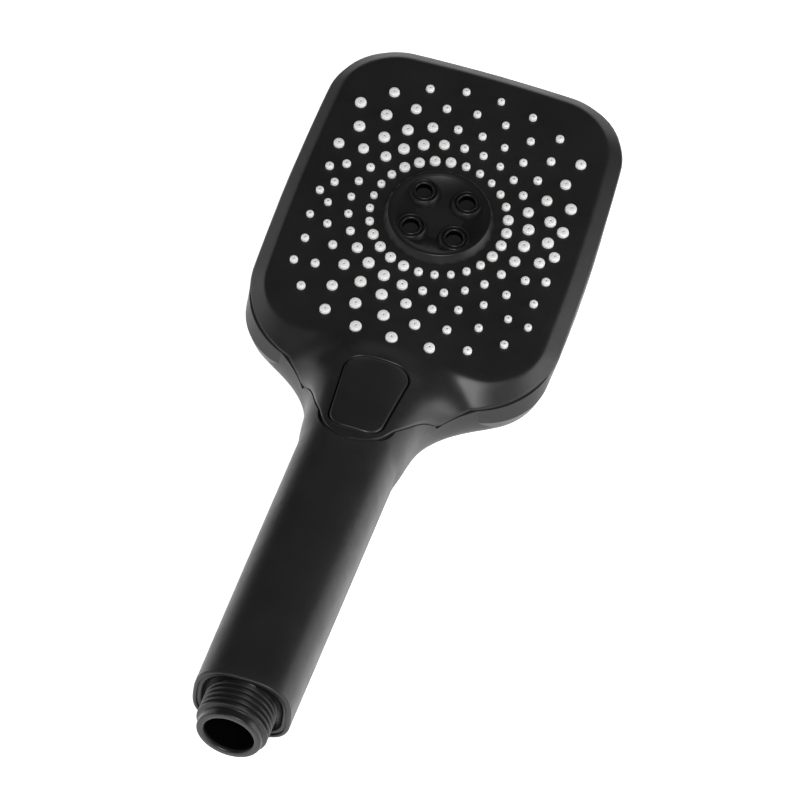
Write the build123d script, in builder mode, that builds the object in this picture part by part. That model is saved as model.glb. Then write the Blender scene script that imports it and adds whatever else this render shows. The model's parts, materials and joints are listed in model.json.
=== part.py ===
"""Handheld shower head with a push-button spray selector, as an assembly of separate pieces.

It lies on its back, as it would on a table: +Z is up, the head points along +Y and the hose
thread along -Y, and the YZ plane is its plane of symmetry. The origin is on the table, under
the middle of the object. Millimetres.
"""
import os
from math import cos, pi, radians, sin

from build123d import *

# ---- driving dimensions ---------------------------------------------------------------------
FACE_TILT = 15.0            # the spray face leans this many degrees towards the thread
FACE_Y = 71.08              # centre of the spray face, from the middle of the object
FACE_Z = 36.3               # its height above the table
FACE_HALF_WIDTH = 46.8      # flat part of the spray face
FACE_TOP = 60.3
FACE_BOTTOM = -57.0
FACE_CORNER = 17.0
RIM_HALF_WIDTH = 51.9       # widest outline of the head, at the joint between the two shells
RIM_HALF_HEIGHT = 66.0
RIM_CORNER = 22.0
RIM_LOW_CORNER = 29.0       # the joint is rounder at the two corners beside the neck
BARREL = 1.9                # how far the sides and the top edge of the head bulge
RIM_DEPTH = 4.3             # the joint lies this far behind the spray face
BACK_DEPTH = 23.215          # the back of the head
BACK_INSET = 3.0            # the bowl narrows by this much on its way down
BACK_ROUND = 11.5
SHOULDER_DEPTH = 10.0       # behind the joint the low corners swell out to here
WALL = 2.2                  # shells
PLATE = 2.4                 # thickness of the spray face
JOINT_GAP = 0.3             # visible seam between the shells

INLET_TILT = 3.73           # the thread dips this many degrees
INLET_Y = FACE_Y - 207.35    # centre of the thread's end face
INLET_Z = 12.2
THREAD_R = 10.4775          # G1/2, 14 threads per inch
THREAD_PITCH = 1.814
THREAD_DEPTH = 1.04
THREAD_LEAD = 1.9           # plain stretch before the first thread
THREAD_END = 11.9
LEAD_R = 9.4
INLET_BORE_R = 7.25
INLET_BORE_LENGTH = 16.0
SEAT_BORE_R = 7.6           # behind the inlet bore, where the strainer and the limiter sit
RIM_FROM_INLET = 12.1       # the handle's rim, along the thread's axis

BUTTON_Y = FACE_Y - 78.85    # axis of the selector
BUTTON_TOP = 28.1
BUTTON_LENGTH = 31.6
BUTTON_WIDE = 21.4          # nearest the spray face
BUTTON_NARROW = 16.2        # nearest the handle
BUTTON_GAP = 0.4
RIDGE_HALF_WIDTH = 18.0     # the neck's ridge falls to half its height this far from the middle
RIDGE_SOFTNESS = 0.92

RING_RADII = (22.5, 29.3, 36.25, 44.2, 52.3)
RING_STEP = 360 / 27
NOZZLE_RADII = (1.95, 1.8, 1.43, 1.33, 1.23)
NOZZLE_HEIGHT = 1.15
NOZZLE_CLEARANCE = 0.15
RING_4_REACH = 39.7         # the outer nozzles are drawn in to the width of the face
RING_5_REACH = 39.0
RING_5_SPAN = 42.5

DISC_R = 18.4
DISC_RIM_R = 16.1
DISC_RIM_Z = 2.8
JET_OFFSET = 7.3
JET_R = 3.9
JET_BORE_R = 2.6
JET_TIP_Z = 2.2

os.makedirs("parts", exist_ok=True)

face = Plane(
    origin=(0, FACE_Y, FACE_Z),
    x_dir=(1, 0, 0),
    z_dir=(0, -sin(radians(FACE_TILT)), cos(radians(FACE_TILT))),
)
inlet = Plane(
    origin=(0, INLET_Y, INLET_Z),
    x_dir=(-1, 0, 0),
    z_dir=(0, cos(radians(INLET_TILT)), sin(radians(INLET_TILT))),
)


def save(name, part):
    """Label one finished piece and write it."""
    part.label = name
    export_step(part, "parts/" + name + ".step")


# ---- outlines of the head -------------------------------------------------------------------
def head_outline(plane, half_width, top, bottom, corner, low_corner=None):
    """A rounded rectangle whose sides and ends bulge a little, as a face on the plane."""
    corner_x = half_width - 2 * BARREL
    corner_top = top - 2 * BARREL
    corner_bottom = bottom + 2 * BARREL
    middle = (top + bottom) / 2
    with BuildSketch(plane) as outline:
        with BuildLine():
            ThreePointArc((corner_x, corner_bottom), (half_width, middle), (corner_x, corner_top))
            ThreePointArc((corner_x, corner_top), (0, top), (-corner_x, corner_top))
            ThreePointArc((-corner_x, corner_top), (-half_width, middle), (-corner_x, corner_bottom))
            ThreePointArc((-corner_x, corner_bottom), (0, bottom), (corner_x, corner_bottom))
        make_face()
        fillet(outline.vertices().sort_by(Axis.Y)[:2], radius=low_corner or corner)
        fillet(outline.vertices().sort_by(Axis.Y)[-2:], radius=corner)
    return outline.sketch.face()


# ---- the body's stations --------------------------------------------------------------------
# Each station is a section across the body: its Y from the face's centre, half width, top,
# bottom, the height at which it is widest, the power and root of its upper half, and the power
# of its lower half.
HANDLE_STATIONS = [
    (-205, 14.2, 24.7, 0.0, 10.4, 3.0, 0.36, 3.0),
    (-151, 14.95, 26.2, 1.1, 10.8, 3.0, 0.36, 3.0),
    (-97, 15.6, 27.7, 2.0, 11.0, 3.0, 0.36, 3.0),
]
NECK_STATIONS = [
    HANDLE_STATIONS[-1],
    (-90, 16.6, 28.0, 1.9, 11.0, 3.0, 0.36, 3.2),
    (-83, 17.5, 28.1, 1.6, 11.0, 3.0, 0.36, 3.4),
    (-76, 19.0, 28.1, 1.3, 11.4, 2.8, 0.42, 3.7),
    (-69, 22.6, 28.1, 0.9, 12.8, 2.5, 0.65, 4.0),
    (-62, 29.4, 28.1, 0.5, 15.0, 2.0, 1.2, 4.0),
    (-55, 39.5, 28.1, 0.3, 16.2, 2.0, 2.1, 4.0),
    (-48, 43.0, 28.1, 0.3, 17.5, 2.0, 2.4, 4.0),
]
HEAD_STATIONS = [
    NECK_STATIONS[-1],
    (-41, 43.5, 28.1, 0.4, 20.5, 2.0, 2.2, 4.0),
    (-34, 43.5, 27.8, 1.0, 24.0, 2.0, 2.2, 4.0),
]
SECTION_STEPS = 10


def upper_curve(station, inset):
    """Points of a station's upper half, from its right edge over the top to its left edge."""
    _, half_width, top, _, widest, power, root, _ = station
    width = half_width - inset
    rise = top - inset - widest
    points = []
    for step in range(2 * SECTION_STEPS + 1):
        across = cos(pi * step / (2 * SECTION_STEPS))
        height = (1 - abs(across) ** power) ** root
        points.append((width * across, widest + rise * height))
    return points


def lower_curve(station, inset):
    """The same for the lower half, which is a rounded trough at every station."""
    _, half_width, _, bottom, widest, _, _, power = station
    width = half_width - inset
    drop = widest - bottom - inset
    points = []
    for step in range(2 * SECTION_STEPS + 1):
        across = -cos(pi * step / (2 * SECTION_STEPS))
        depth = (1 - abs(across) ** power) ** (1 / power)
        points.append((width * across, widest - drop * depth))
    return points


def body_span(stations, inset):
    """One stretch of the body, lofted through its stations, added to the current part."""
    sections = []
    for station in stations:
        with BuildSketch(Plane.XZ.offset(-FACE_Y - station[0])) as section:
            with BuildLine():
                Spline(*upper_curve(station, inset))
                Spline(*lower_curve(station, inset))
            make_face()
        sections.append(section.sketch.face())
    loft(sections)


def handle_and_neck(inset):
    """The body from the handle's end to inside the head, added to the current part."""
    body_span(HANDLE_STATIONS, inset)
    body_span(NECK_STATIONS, inset)
    body_span(HEAD_STATIONS, inset)


def joint_outline(inset):
    """The head's outline at the joint between the two shells."""
    half_width = RIM_HALF_WIDTH - inset
    half_height = RIM_HALF_HEIGHT - inset
    corner = RIM_CORNER - inset
    low_corner = RIM_LOW_CORNER - inset
    plane = face.offset(-RIM_DEPTH)
    return head_outline(plane, half_width, half_height, -half_height, corner, low_corner)


def head_bowl(inset):
    """The head behind the joint: fullest at the shoulder, then narrowing to a rounded back."""
    sections = [joint_outline(inset)]
    for depth, narrower in ((SHOULDER_DEPTH, inset), (BACK_DEPTH - inset, inset + BACK_INSET)):
        half_width = RIM_HALF_WIDTH - narrower
        half_height = RIM_HALF_HEIGHT - narrower
        corner = RIM_CORNER - narrower
        sections.append(head_outline(face.offset(-depth), half_width, half_height, -half_height, corner))
    with BuildPart() as bowl:
        loft(sections, ruled=True)
        back = bowl.faces().sort_by(Axis(face.origin, face.z_dir))[0]
        fillet(back.edges(), radius=BACK_ROUND - inset)
    return bowl.part


def head_front(inset, depth):
    """The head in front of the joint: the bevelled edge of the spray face."""
    half_width = FACE_HALF_WIDTH - inset
    top = FACE_TOP - inset
    bottom = FACE_BOTTOM + inset
    sections = [
        joint_outline(inset),
        head_outline(face.offset(-depth), half_width, top, bottom, FACE_CORNER - inset),
    ]
    with BuildPart() as front:
        loft(sections, ruled=True)
    return front.part


# ---- the two shells -------------------------------------------------------------------------
with BuildPart() as outside:
    handle_and_neck(0)
    add(head_bowl(0))
    add(head_front(0, 0))

with BuildPart() as inside:
    handle_and_neck(WALL)
    add(head_bowl(WALL))
    add(head_front(WALL, PLATE))

TONGUE_END = 99.2           # distance of the cover's tongue end from the face's centre
TONGUE_EDGE = (             # the tongue's edge: x, and distance from the face's centre
    (12.1, 88.6),
    (14.5, 84.0),
    (19.1, 73.2),
    (25.0, 66.4),
    (34.0, 60.2),
    (45.0, 58.0),
    (60.0, 57.0),
)


def cover_zone(gap):
    """Everything that belongs to the cover seen from above: the head, and a tongue down the neck."""
    shift = 0.75 * gap      # sideways and down the handle, for a seam about as wide as the gap
    edge_points = [(x + shift, FACE_Y - away - shift) for x, away in TONGUE_EDGE]
    arc_x, arc_y = edge_points[0]
    with BuildSketch(Plane.XY) as zone:
        with BuildLine():
            edge = Spline(*edge_points)
            Line(edge @ 1, (60 + shift, FACE_Y + 75))
            mirror(about=Plane.YZ)
            Line((60 + shift, FACE_Y + 75), (-60 - shift, FACE_Y + 75))
            ThreePointArc((arc_x, arc_y), (0, FACE_Y - TONGUE_END - gap), (-arc_x, arc_y))
        make_face()
    with BuildPart() as prism:
        add(zone.sketch)
        extrude(amount=80)
        split(bisect_by=face.offset(-RIM_DEPTH - gap), keep=Keep.TOP)
    return prism.part


def button_outline(height, grow):
    """The button seen from above: a rounded trapezoid, wider towards the spray face."""
    half_length = BUTTON_LENGTH / 2
    near = BUTTON_WIDE / 2
    far = BUTTON_NARROW / 2
    with BuildSketch(Plane.XY.offset(height)) as outline:
        with BuildLine():
            Polyline(
                (near, BUTTON_Y + half_length),
                (-near, BUTTON_Y + half_length),
                (-far, BUTTON_Y - half_length),
                (far, BUTTON_Y - half_length),
                close=True,
            )
        make_face()
        fillet(outline.vertices(), radius=5.2)
        if grow:
            offset(amount=grow)
    return outline.sketch.face()


def neck_rise(x, y):
    """Height of the neck's ridge above the spray face, at a point of the face."""
    centre = (BUTTON_TOP - FACE_Z - y * sin(radians(FACE_TILT))) / cos(radians(FACE_TILT))
    return max(0.0, RIDGE_SOFTNESS * centre / (1 + (x / RIDGE_HALF_WIDTH) ** 2))


def nozzle_layout():
    """Every nozzle's x, y, size (0 is the largest) and height of the surface it stands on.

    Five rings share one angular step, and every other ring is turned by half a step. The large
    nozzles gather in three arms, which wind by a quarter of a lobe from each ring to the next.
    """
    nozzles = []
    for ring, radius in enumerate(RING_RADII):
        start = RING_STEP / 2 if ring % 2 == 0 else RING_STEP
        for index in range(27):
            angle = start + RING_STEP * index
            x = radius * sin(radians(angle))
            y = radius * cos(radians(angle))
            reach = RING_4_REACH if ring == 3 else RING_5_REACH
            if ring == 4 and abs(x) > RING_5_SPAN:
                continue
            if ring > 2:
                x = max(-reach, min(reach, x))
            lobe = -2 * RING_STEP - RING_STEP / 2 * ring
            away = abs((angle - lobe + 60) % 120 - 60) / RING_STEP
            size = min(4, int(away + 0.01))
            if ring == 0:
                size = max(1, size)
            nozzles.append((x, y, size, neck_rise(x, y)))
    return nozzles


NOZZLES = nozzle_layout()
BOSS_PLACES = ((41.6, 29), (41.6, -29), (12, 55.4), (30, -49.5))
SCREW_BOSSES = [(x * side, y) for x, y in BOSS_PLACES for side in (1, -1)]
BOSS_R = 2.0
PILOT_R = 1.0
MAT_BACK = PLATE + 1.2
SPRAY_PLATE_BACK = MAT_BACK + 2.2
CHAMBER_WALL_BACK = 11.0
CHAMBER_SEAL_BACK = 12.0
CHAMBER_BACK = 14.2
INNER_HALF_WIDTH = 45.2     # the stack of plates behind the spray face
INNER_TOP = 58.6
INNER_BOTTOM = -55.4
INNER_CORNER = 15.5
SKIRT_R = 16.5              # the central disc's skirt, which parts the jets from the nozzles
SKIRT_INNER_R = 15.0


def inner_outline(inset):
    """Outline of the plates behind the spray face, for a sketch on one of the face's planes."""
    return head_outline(
        Plane.XY,
        INNER_HALF_WIDTH - inset,
        INNER_TOP - inset,
        INNER_BOTTOM + inset,
        INNER_CORNER - inset,
    )


with BuildPart() as front_cover:
    add(outside.part)
    split(bisect_by=face.offset(-RIM_DEPTH), keep=Keep.TOP)
    add(cover_zone(0), mode=Mode.INTERSECT)
    add(inside.part, mode=Mode.SUBTRACT)
    with BuildSketch(Plane.XY.offset(BUTTON_TOP - 9)):
        add(button_outline(0, BUTTON_GAP))
    extrude(amount=12, mode=Mode.SUBTRACT)
    with BuildSketch(face.offset(-PLATE - 6)):
        with Locations(*SCREW_BOSSES):
            Circle(BOSS_R)
    extrude(amount=6.2)
    with BuildSketch(face.offset(-PLATE - 6)):
        with Locations(*SCREW_BOSSES):
            Circle(PILOT_R)
    extrude(amount=5.4, mode=Mode.SUBTRACT)
    with BuildSketch(face.offset(-PLATE - 1)):
        Circle(SKIRT_R)
        for x, y, size, _ in NOZZLES:
            with Locations((x, y)):
                Circle(NOZZLE_RADII[size] + NOZZLE_CLEARANCE)
    extrude(amount=12, mode=Mode.SUBTRACT)
save("front_cover", front_cover.part)

with BuildPart() as rear_housing:
    add(outside.part)
    add(cover_zone(JOINT_GAP), mode=Mode.SUBTRACT)
    split(bisect_by=inlet.offset(RIM_FROM_INLET), keep=Keep.TOP)
    add(inside.part, mode=Mode.SUBTRACT)
save("rear_housing", rear_housing.part)

# ---- nozzles and water chamber --------------------------------------------------------------
ORIFICE_R = 0.3
with BuildPart() as nozzle_mat:
    with BuildSketch(face.offset(-MAT_BACK)):
        add(inner_outline(0.6))
        with Locations(*SCREW_BOSSES):
            Circle(BOSS_R + 0.15, mode=Mode.SUBTRACT)
        Circle(SKIRT_R + 0.2, mode=Mode.SUBTRACT)
    extrude(amount=MAT_BACK - PLATE)
    for x, y, size, rise in NOZZLES:
        radius = NOZZLE_RADII[size]
        with BuildSketch(face.offset(-PLATE)):
            with Locations((x, y)):
                Circle(radius)
        extrude(amount=PLATE + rise + NOZZLE_HEIGHT)
    tips = nozzle_mat.faces().filter_by(GeomType.PLANE).filter_by(
        lambda tip: tip.area < 13 and tip.center().Z > FACE_Z - 60 and tip.normal_at().dot(face.z_dir) > 0.9
    )
    fillet(tips.edges(), radius=0.7)
    with BuildSketch(face.offset(-MAT_BACK)):
        for x, y, _, _ in NOZZLES:
            with Locations((x, y)):
                Circle(ORIFICE_R)
    extrude(amount=14, mode=Mode.SUBTRACT)
save("nozzle_mat", nozzle_mat.part)

with BuildPart() as spray_plate:
    with BuildSketch(face.offset(-SPRAY_PLATE_BACK)):
        add(inner_outline(0))
    extrude(amount=SPRAY_PLATE_BACK - MAT_BACK)
    with BuildSketch(face.offset(-CHAMBER_WALL_BACK)):
        add(inner_outline(0))
        add(inner_outline(2.0), mode=Mode.SUBTRACT)
        Circle(SKIRT_R + 2.4)
        with Locations(*SCREW_BOSSES):
            Circle(BOSS_R + 1.5)
    extrude(amount=CHAMBER_WALL_BACK - SPRAY_PLATE_BACK)
    with BuildSketch(face.offset(-CHAMBER_WALL_BACK)):
        Circle(SKIRT_R)
        for x, y, _, _ in NOZZLES:
            with Locations((x, y)):
                Circle(0.8)
        with Locations(*SCREW_BOSSES):
            Circle(PILOT_R + 0.3)
    extrude(amount=CHAMBER_WALL_BACK, mode=Mode.SUBTRACT)
    with BuildSketch(face.offset(-PLATE - 6.2)):
        with Locations(*SCREW_BOSSES):
            Circle(BOSS_R + 0.1)
    extrude(amount=6.2, mode=Mode.SUBTRACT)
save("spray_plate", spray_plate.part)

with BuildPart() as chamber_seal:
    with BuildSketch(face.offset(-CHAMBER_SEAL_BACK)):
        add(inner_outline(0))
        add(inner_outline(2.0), mode=Mode.SUBTRACT)
        with Locations(*SCREW_BOSSES):
            Circle(BOSS_R + 1.5)
        with Locations(*SCREW_BOSSES):
            Circle(PILOT_R + 0.4, mode=Mode.SUBTRACT)
    extrude(amount=CHAMBER_SEAL_BACK - CHAMBER_WALL_BACK)
save("chamber_seal", chamber_seal.part)

# The duct meets the water chamber on a square face at its lower edge.
DUCT_HALF_SPACING = 5.0
DUCT_R = 2.0
DUCT_Z = 8.0                # height of the duct's channels above the table
BLOCK_BOTTOM = -55.4        # lower edge of the chamber's inlet block, on the face's plane
BLOCK_DEPTH = 17.6
CHANNEL_DEPTH = 14.7
duct_mouth = Plane(
    origin=face.from_local_coords((0, BLOCK_BOTTOM, -CHANNEL_DEPTH)),
    x_dir=(1, 0, 0),
    z_dir=face.y_dir,
)
with BuildPart() as chamber_back:
    with BuildSketch(face.offset(-CHAMBER_BACK)):
        add(inner_outline(0))
    extrude(amount=CHAMBER_BACK - CHAMBER_SEAL_BACK)
    with BuildSketch(face.offset(-BLOCK_DEPTH)):
        with Locations((0, BLOCK_BOTTOM + 7)):
            RectangleRounded(20, 14, 1.2)
    extrude(amount=BLOCK_DEPTH - CHAMBER_SEAL_BACK)
    with BuildSketch(duct_mouth.offset(-1)):
        with Locations((DUCT_HALF_SPACING, 0), (-DUCT_HALF_SPACING, 0)):
            Circle(DUCT_R)
    extrude(amount=11, mode=Mode.SUBTRACT)
    with BuildSketch(face.offset(-CHANNEL_DEPTH)):
        with Locations((DUCT_HALF_SPACING, -47.4), (-DUCT_HALF_SPACING, -47.4)):
            Circle(DUCT_R)
    extrude(amount=CHANNEL_DEPTH, mode=Mode.SUBTRACT)
    with BuildSketch(face.offset(-CHAMBER_BACK)):
        with Locations(*SCREW_BOSSES):
            Circle(PILOT_R + 0.3)
        Circle(PILOT_R + 0.3)
    extrude(amount=CHAMBER_BACK, mode=Mode.SUBTRACT)
save("chamber_back", chamber_back.part)


def screw(plane, length, head_r, shaft_r, head_height):
    """A pan-head screw that stands in the plane, head outside, with a cross recess."""
    with BuildPart() as one:
        with BuildSketch(plane):
            Circle(head_r)
        extrude(amount=-head_height)
        fillet(one.edges().sort_by(Axis(plane.origin, plane.z_dir))[0], radius=head_height * 0.4)
        with BuildSketch(plane):
            Circle(shaft_r)
        extrude(amount=length)
        with BuildSketch(plane.offset(-head_height)):
            Rectangle(head_r * 1.1, head_r * 0.28)
            Rectangle(head_r * 0.28, head_r * 1.1)
        extrude(amount=head_height * 0.5, mode=Mode.SUBTRACT)
    return one.part


def behind_chamber(x, y):
    """The plane that a screw through the chamber's back plate stands in."""
    seat = face.from_local_coords((x, y, -CHAMBER_BACK))
    return Plane(origin=seat, x_dir=(1, 0, 0), z_dir=face.z_dir)


with BuildPart() as cover_screws:
    for x, y in SCREW_BOSSES:
        add(screw(behind_chamber(x, y), 10, 2.5, PILOT_R, 1.7))
save("cover_screws", cover_screws.part)

# ---- central jets ---------------------------------------------------------------------------
JETS = [(x, y) for x in (JET_OFFSET, -JET_OFFSET) for y in (JET_OFFSET, -JET_OFFSET)]
JET_SEAT_Z = -0.6
JET_FLANGE_R = 4.6
DISC_FLOOR = -2.6
side_of_face = Plane(origin=face.origin, x_dir=(1, 0, 0), z_dir=-face.y_dir)
with BuildPart() as centre_disc:
    with BuildSketch(side_of_face) as section:
        with BuildLine():
            Polyline(
                (0, -0.5),
                (0, DISC_FLOOR),
                (SKIRT_INNER_R, DISC_FLOOR),
                (SKIRT_INNER_R, -CHAMBER_WALL_BACK),
                (SKIRT_R, -CHAMBER_WALL_BACK),
                (SKIRT_R, 0),
                (DISC_R, 0),
                (DISC_R, 0.3),
                (DISC_RIM_R + 0.7, DISC_RIM_Z),
                (DISC_RIM_R, DISC_RIM_Z),
            )
            TangentArc((0, -0.5), (DISC_RIM_R, DISC_RIM_Z), tangent=(1, 0))
        make_face()
    revolve(axis=Axis(face.origin, face.z_dir))
    with BuildSketch(face.offset(-1)):
        with Locations(*JETS):
            Circle(5.9)
    extrude(amount=JET_TIP_Z + 0.8, taper=25)
    with BuildSketch(face.offset(JET_SEAT_Z)):
        with Locations(*JETS):
            Circle(JET_R + 0.35)
    extrude(amount=6, mode=Mode.SUBTRACT)
    with BuildSketch(face.offset(DISC_FLOOR)):
        with Locations(*JETS):
            Circle(JET_R)
    extrude(amount=6, mode=Mode.SUBTRACT)
    with BuildSketch(face.offset(-CHAMBER_SEAL_BACK)):
        Circle(2.6)
    extrude(amount=CHAMBER_SEAL_BACK + DISC_FLOOR)
    with BuildSketch(face.offset(-CHAMBER_SEAL_BACK)):
        Circle(PILOT_R)
    extrude(amount=8, mode=Mode.SUBTRACT)
save("centre_disc", centre_disc.part)

with BuildPart() as jet_nozzles:
    with BuildSketch(face.offset(-5)):
        with Locations(*JETS):
            Circle(JET_FLANGE_R)
    extrude(amount=5 + DISC_FLOOR)
    with BuildSketch(face.offset(DISC_FLOOR)):
        with Locations(*JETS):
            Circle(JET_R)
    extrude(amount=JET_TIP_Z - DISC_FLOOR)
    with BuildSketch(face.offset(-3.4)):
        with Locations(*JETS):
            Circle(JET_BORE_R)
    extrude(amount=8, mode=Mode.SUBTRACT)
    with BuildSketch(face.offset(-5)):
        with Locations(*JETS):
            with PolarLocations(1.6, 3):
                Circle(0.5)
    extrude(amount=3, mode=Mode.SUBTRACT)
save("jet_nozzles", jet_nozzles.part)

with BuildPart() as swirl_cores:
    with BuildSketch(face.offset(-3.4)):
        with Locations(*JETS):
            Circle(JET_BORE_R)
            with PolarLocations(JET_BORE_R, 4):
                Rectangle(1.6, 0.8, mode=Mode.SUBTRACT)
    extrude(amount=1.8)
    with BuildSketch(face.offset(-1.6)):
        with Locations(*JETS):
            Circle(1.3)
    extrude(amount=1.2, taper=30)
save("swirl_cores", swirl_cores.part)

centre_screw = screw(behind_chamber(0, 0), 9, 2.8, PILOT_R, 1.8)
save("centre_screw", centre_screw)

# ---- selector: body, rotor, cap and push rod ------------------------------------------------
SELECTOR_R = 9.0
SELECTOR_FLOOR = 6.2
ROTOR_TOP = 12.0
BODY_BOTTOM = 4.6
BODY_TOP = 16.5
BODY_HALF_WIDTH = 12.0
BODY_HALF_LENGTH = 15.5
CAP_TOP = 18.3
POCKET_R = 5.9
GUIDE_R = 3.9
ROD_R = 2.5
ROD_BOTTOM = 9.5
ROD_FLANGE_R = 5.6
SPRING_BOTTOM = 14.2
SPRING_TOP = 24.8
BUTTON_UNDERSIDE = 26.1
TUBE_Z = 12.2
TUBE_R = 6.5
TUBE_BORE_R = 5.25
SPIGOT_R = 5.15
SPIGOT_BORE_R = 3.8
SPIGOT_LENGTH = 15.0
selector_axis = Axis((0, BUTTON_Y, 0), (0, 0, 1))
BODY_END = BUTTON_Y + BODY_HALF_LENGTH
BODY_START = BUTTON_Y - BODY_HALF_LENGTH
CAP_SCREWS = [(x, BUTTON_Y + y) for x in (9.3, -9.3) for y in (12.9, -12.9)]


def level(height):
    """A horizontal plane at this height, centred on the selector's axis."""
    return Plane(origin=(0, BUTTON_Y, height), x_dir=(1, 0, 0), z_dir=(0, 0, 1))


with BuildPart() as valve_body:
    with BuildSketch(level(BODY_BOTTOM)):
        Rectangle(2 * BODY_HALF_WIDTH, 2 * BODY_HALF_LENGTH)
    extrude(amount=BODY_TOP - BODY_BOTTOM)
    low_edges = valve_body.edges().filter_by(Axis.Y).group_by(Axis.Z)[0]
    chamfer(low_edges, length=4.2)
    with BuildSketch(Plane.XZ.offset(-BODY_START)):
        with Locations((0, TUBE_Z)):
            Circle(SPIGOT_R)
    extrude(amount=SPIGOT_LENGTH)
    with BuildSketch(Plane.XZ.offset(-BODY_START + 3)):
        with Locations((0, TUBE_Z)):
            Circle(SPIGOT_R + 1)
            Circle(SPIGOT_R - 0.85, mode=Mode.SUBTRACT)
    extrude(amount=1.2, mode=Mode.SUBTRACT)
    with BuildSketch(Plane.XZ.offset(-BODY_START + SPIGOT_LENGTH)):
        with Locations((0, TUBE_Z)):
            Circle(SPIGOT_BORE_R)
    extrude(amount=-SPIGOT_LENGTH - 10, mode=Mode.SUBTRACT)
    with BuildSketch(level(SELECTOR_FLOOR)):
        Circle(SELECTOR_R)
    extrude(amount=20, mode=Mode.SUBTRACT)
    with BuildSketch(level(BODY_TOP - 0.8)):
        Circle(SELECTOR_R + 1.6)
        Circle(SELECTOR_R + 0.4, mode=Mode.SUBTRACT)
    extrude(amount=0.8, mode=Mode.SUBTRACT)
    with BuildSketch(Plane.XZ.offset(-BODY_END)):
        with Locations((DUCT_HALF_SPACING, DUCT_Z), (-DUCT_HALF_SPACING, DUCT_Z)):
            Circle(DUCT_R)
    extrude(amount=12, mode=Mode.SUBTRACT)
    with BuildSketch(Plane.XY.offset(BODY_TOP - 6)):
        with Locations(*CAP_SCREWS):
            Circle(PILOT_R)
    extrude(amount=7, mode=Mode.SUBTRACT)
save("valve_body", valve_body.part)

with BuildPart() as valve_seal:
    with BuildSketch(level(BODY_TOP - 0.8)):
        Circle(SELECTOR_R + 1.6)
        Circle(SELECTOR_R + 0.4, mode=Mode.SUBTRACT)
    extrude(amount=0.8)
save("valve_seal", valve_seal.part)

with BuildPart() as valve_cap:
    with BuildSketch(level(BODY_TOP)):
        RectangleRounded(2 * BODY_HALF_WIDTH, 2 * BODY_HALF_LENGTH, 2)
    extrude(amount=CAP_TOP - BODY_TOP)
    with BuildSketch(level(SPRING_BOTTOM - 1.3)):
        Circle(POCKET_R + 1.5)
    extrude(amount=BODY_TOP - SPRING_BOTTOM + 1.3)
    with BuildSketch(level(SPRING_BOTTOM)):
        Circle(POCKET_R)
        Circle(GUIDE_R, mode=Mode.SUBTRACT)
    extrude(amount=10, mode=Mode.SUBTRACT)
    with BuildSketch(level(SPRING_BOTTOM - 2)):
        Circle(ROD_R + 0.06)
    extrude(amount=10, mode=Mode.SUBTRACT)
    with BuildSketch(level(15.4)):
        Circle(ROD_R + 1.1)
    extrude(amount=1.1, mode=Mode.SUBTRACT)
    with BuildSketch(Plane.XY.offset(BODY_TOP)):
        with Locations(*CAP_SCREWS):
            Circle(PILOT_R + 0.2)
    extrude(amount=5, mode=Mode.SUBTRACT)
save("valve_cap", valve_cap.part)

with BuildPart() as valve_screws:
    for x, y in CAP_SCREWS:
        add(screw(Plane(origin=(x, y, CAP_TOP), x_dir=(1, 0, 0), z_dir=(0, 0, -1)), 6.5, 2.0, PILOT_R, 1.3))
save("valve_screws", valve_screws.part)

with BuildPart() as rod_seal:
    with BuildSketch(Plane.XZ.offset(-BUTTON_Y)) as ring:
        with Locations((ROD_R + 0.58, 15.95)):
            Circle(0.5)
    revolve(axis=selector_axis)
save("rod_seal", rod_seal.part)

RATCHET_TEETH = 6
with BuildPart() as selector_rotor:
    with BuildSketch(level(SELECTOR_FLOOR + 0.1)):
        Circle(SELECTOR_R - 0.08)
    extrude(amount=ROTOR_TOP - SELECTOR_FLOOR - 0.1)
    with BuildSketch(level(7)):
        Circle(ROD_R + 0.08)
    extrude(amount=10, mode=Mode.SUBTRACT)
    with BuildSketch(Plane(origin=(0, BUTTON_Y, DUCT_Z), x_dir=(1, 0, 0), z_dir=(0, 1, 0))):
        with Locations((DUCT_HALF_SPACING, 0), (-DUCT_HALF_SPACING, 0)):
            Circle(DUCT_R)
    extrude(amount=12, mode=Mode.SUBTRACT)
    with BuildSketch(level(ROTOR_TOP)):
        with PolarLocations(6.2, RATCHET_TEETH):
            Rectangle(3.6, 1.4)
    extrude(amount=-1.0, mode=Mode.SUBTRACT)
    with BuildSketch(level(DUCT_Z)):
        with Locations((DUCT_HALF_SPACING, 4), (-DUCT_HALF_SPACING, 4)):
            Circle(1.4)
    extrude(amount=6, mode=Mode.SUBTRACT)
save("selector_rotor", selector_rotor.part)

with BuildPart() as push_rod:
    with BuildSketch(level(ROD_BOTTOM)):
        Circle(ROD_R)
    extrude(amount=SPRING_TOP - ROD_BOTTOM)
    with BuildSketch(level(SPRING_TOP)):
        Circle(ROD_FLANGE_R)
    extrude(amount=BUTTON_UNDERSIDE - SPRING_TOP)
    chamfer(push_rod.edges().group_by(Axis.Z)[0], length=0.5)
save("push_rod", push_rod.part)

SPRING_R = 4.9
WIRE_R = 0.45
SPRING_TURNS = 6
with BuildPart() as button_spring:
    with BuildLine(level(SPRING_BOTTOM + WIRE_R)) as coil:
        Helix(
            pitch=(SPRING_TOP - SPRING_BOTTOM - 2 * WIRE_R) / SPRING_TURNS,
            height=SPRING_TOP - SPRING_BOTTOM - 2 * WIRE_R,
            radius=SPRING_R,
        )
    with BuildSketch(Plane(origin=coil.line @ 0, z_dir=coil.line % 0)):
        Circle(WIRE_R)
    sweep(is_frenet=True)
save("button_spring", button_spring.part)

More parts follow.
